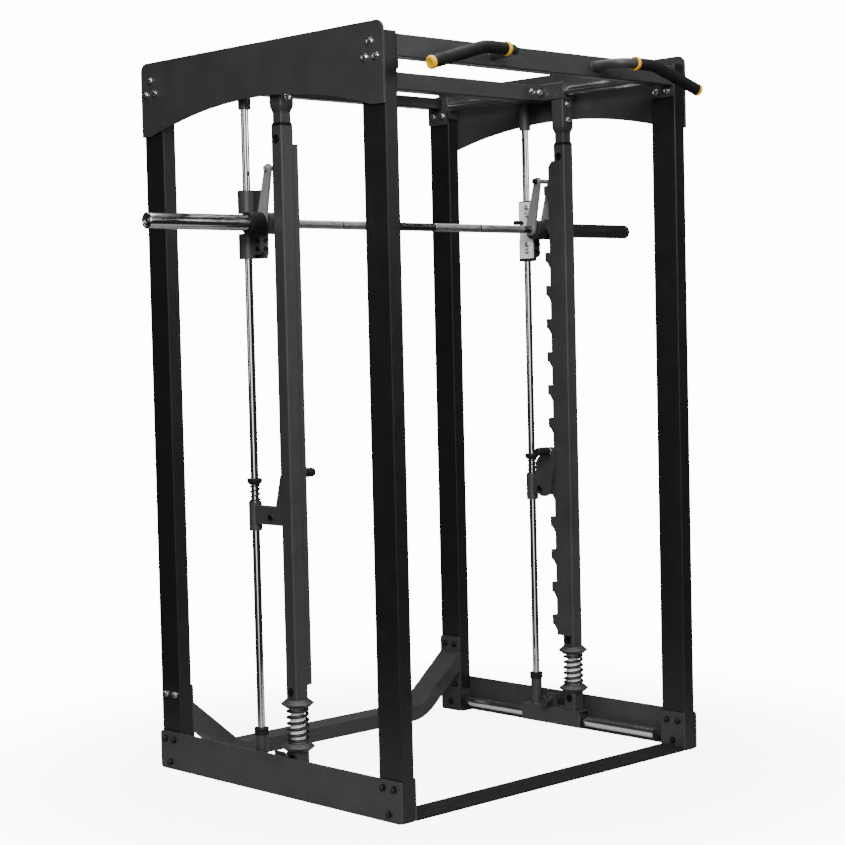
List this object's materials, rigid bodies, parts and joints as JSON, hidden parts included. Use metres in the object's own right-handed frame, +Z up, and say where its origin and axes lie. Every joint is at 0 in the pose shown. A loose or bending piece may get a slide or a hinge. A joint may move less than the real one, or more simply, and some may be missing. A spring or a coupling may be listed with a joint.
{
  "type": "smith machine",
  "caption": "Free-standing gym frame whose guided barbell slides up, down, forward and back, with notched columns, safety stops and pull-up handles.",
  "frame": {"origin": "on the floor, under the middle of the whole machine", "axes": "+Z up, +Y to the rear (the user faces -Y or +Y between the sides), +X along the bar to the right seen from the front strip"},
  "size_m": [2.17, 1.3164, 2.335],
  "materials": {
    "black_frame": "satin",
    "charcoal_frame": "satin",
    "charcoal_carriage": "satin",
    "charcoal_rack": "satin",
    "charcoal_slides": "satin",
    "charcoal_stops": "satin",
    "black_plastic": "matte",
    "black_rubber": "matte",
    "yellow_plastic": "gloss",
    "chrome_rods": "mirror",
    "bolt_steel": "zinc plated",
    "black_bolt": "black oxide",
    "spring_steel": "black",
    "bar_steel": "knurled",
    "silver_plate": "silver satin"
  },
  "bodies": {
    "frame": {"front_left_upright": "black_frame", "front_right_upright": "black_frame", "rear_left_upright": "black_frame", "rear_right_upright": "black_frame", "upright_caps": "black_plastic", "left_upper_plate": "charcoal_frame", "right_upper_plate": "charcoal_frame", "left_lower_plate": "charcoal_frame", "right_lower_plate": "charcoal_frame", "front_beam": "charcoal_frame", "rear_tube": "black_frame", "rear_brace": "charcoal_frame", "frame_brackets": "charcoal_frame", "floor_strip": "black_rubber", "pull_up_handles": "charcoal_frame", "pull_up_grips": "black_rubber", "grip_caps": "yellow_plastic", "lower_rails": "chrome_rods", "upper_rails": "chrome_rods", "rail_bumpers": "black_rubber", "silver_bolts": "bolt_steel", "black_bolts": "black_bolt"},
    "carriage": {"left_carriage_base": "charcoal_carriage", "right_carriage_base": "charcoal_carriage", "left_carriage_head": "charcoal_carriage", "right_carriage_head": "charcoal_carriage", "cross_beam": "charcoal_carriage", "guide_rods": "chrome_rods", "inner_posts": "charcoal_carriage", "spring_guides": "chrome_rods", "rod_rings": "black_rubber", "carriage_bushes": "black_plastic", "carriage_bolts": "bolt_steel"},
    "left_rack": {"left_notched_column": "charcoal_rack", "left_rack_spring": "spring_steel"},
    "right_rack": {"right_notched_column": "charcoal_rack", "right_rack_spring": "spring_steel"},
    "bar_slides": {"left_bar_slide": "charcoal_slides", "right_bar_slide": "charcoal_slides", "slide_plates": "silver_plate", "slide_bushes": "black_plastic", "slide_bolts": "bolt_steel", "slide_pegs": "black_rubber"},
    "bar": {"bar_shaft": "bar_steel", "plate_sleeves": "chrome_rods", "bar_collars": "black_rubber", "bar_hooks": "silver_plate", "hook_pin_caps": "black_rubber"},
    "left_stop": {"left_safety_stop": "charcoal_stops", "left_stop_spring": "spring_steel"},
    "right_stop": {"right_safety_stop": "charcoal_stops", "right_stop_spring": "spring_steel"},
    "left_latch": {"left_stop_latch": "charcoal_stops", "left_latch_grip": "black_rubber"},
    "right_latch": {"right_stop_latch": "charcoal_stops", "right_latch_grip": "black_rubber"},
    "left_stop_cushion": {"left_stop_bumper": "black_rubber"},
    "right_stop_cushion": {"right_stop_bumper": "black_rubber"},
    "left_lock": {"left_lock_knob": "black_plastic"},
    "right_lock": {"right_lock_knob": "black_plastic"}
  },
  "joints": [
    {"name": "carriage_travel", "type": "slide", "parent": "frame", "child": "carriage", "axis": [0, 1, 0], "range_m": [-0.29, 0.29]},
    {"name": "bar_travel", "type": "slide", "parent": "carriage", "child": "bar_slides", "axis": [0, 0, 1], "range_m": [-0.585, 0.117]},
    {"name": "bar_turn", "type": "hinge", "parent": "bar_slides", "child": "bar", "pos_m": [0, 0.09625, 1.785], "axis": [1, 0, 0], "range_deg": [-20, 6]},
    {"name": "left_rack_give", "type": "slide", "parent": "carriage", "child": "left_rack", "axis": [0, 0, 1], "range_m": [-0.02, 0], "stiffness_N_per_m": 30000, "springref_m": 0.015, "deforming": ["left_rack_spring"]},
    {"name": "left_stop_travel", "type": "slide", "parent": "carriage", "child": "left_stop", "axis": [0, 0, 1], "range_m": [-0.468, 0]},
    {"name": "left_latch_turn", "type": "hinge", "parent": "left_stop", "child": "left_latch", "pos_m": [-0.59, 0.07725, 0.868], "axis": [1, 0, 0], "range_deg": [-25, 14]},
    {"name": "left_cushion_give", "type": "slide", "parent": "left_stop", "child": "left_stop_cushion", "axis": [0, 0, 1], "range_m": [-0.025, 0], "stiffness_N_per_m": 4000, "springref_m": 0.004, "deforming": ["left_stop_spring"]},
    {"name": "left_lock_press", "type": "slide", "parent": "carriage", "child": "left_lock", "axis": [-1, 0, 0], "range_m": [0, 0.003]},
    {"name": "right_rack_give", "type": "slide", "parent": "carriage", "child": "right_rack", "axis": [0, 0, 1], "range_m": [-0.02, 0], "stiffness_N_per_m": 30000, "springref_m": 0.015, "deforming": ["right_rack_spring"]},
    {"name": "right_stop_travel", "type": "slide", "parent": "carriage", "child": "right_stop", "axis": [0, 0, 1], "range_m": [-0.468, 0]},
    {"name": "right_latch_turn", "type": "hinge", "parent": "right_stop", "child": "right_latch", "pos_m": [0.59, 0.07725, 0.868], "axis": [1, 0, 0], "range_deg": [-25, 14]},
    {"name": "right_cushion_give", "type": "slide", "parent": "right_stop", "child": "right_stop_cushion", "axis": [0, 0, 1], "range_m": [-0.025, 0], "stiffness_N_per_m": 4000, "springref_m": 0.004, "deforming": ["right_stop_spring"]},
    {"name": "right_lock_press", "type": "slide", "parent": "carriage", "child": "right_lock", "axis": [1, 0, 0], "range_m": [0, 0.003]}
  ]
}
